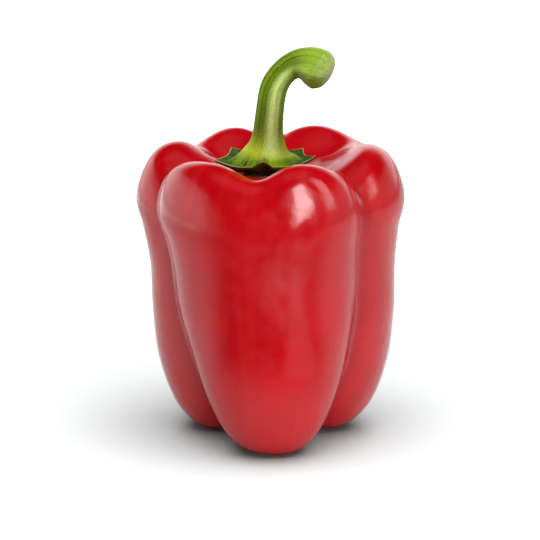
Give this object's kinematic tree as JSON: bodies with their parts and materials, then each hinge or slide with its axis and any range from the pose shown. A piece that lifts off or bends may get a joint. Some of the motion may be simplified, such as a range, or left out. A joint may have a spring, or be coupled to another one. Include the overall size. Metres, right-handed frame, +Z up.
{
  "type": "bell pepper",
  "caption": "Whole blocky red bell pepper with swollen shoulders, deep grooves between its lobes and a bent green stem on a lobed calyx, standing upright.",
  "frame": {"origin": "middle of the pepper's footprint, on the surface that it stands on", "axes": "+Z up along the pepper's axis towards the stem; the broad front lobe faces -Y and the stem's cut end points towards +X"},
  "size_m": [0.0846, 0.082, 0.1261],
  "materials": {
    "skin": "glossy waxy red skin",
    "stem": "satin green stem and calyx"
  },
  "bodies": {
    "root": {"fruit": "skin", "stem": "stem"}
  },
  "joints": []
}
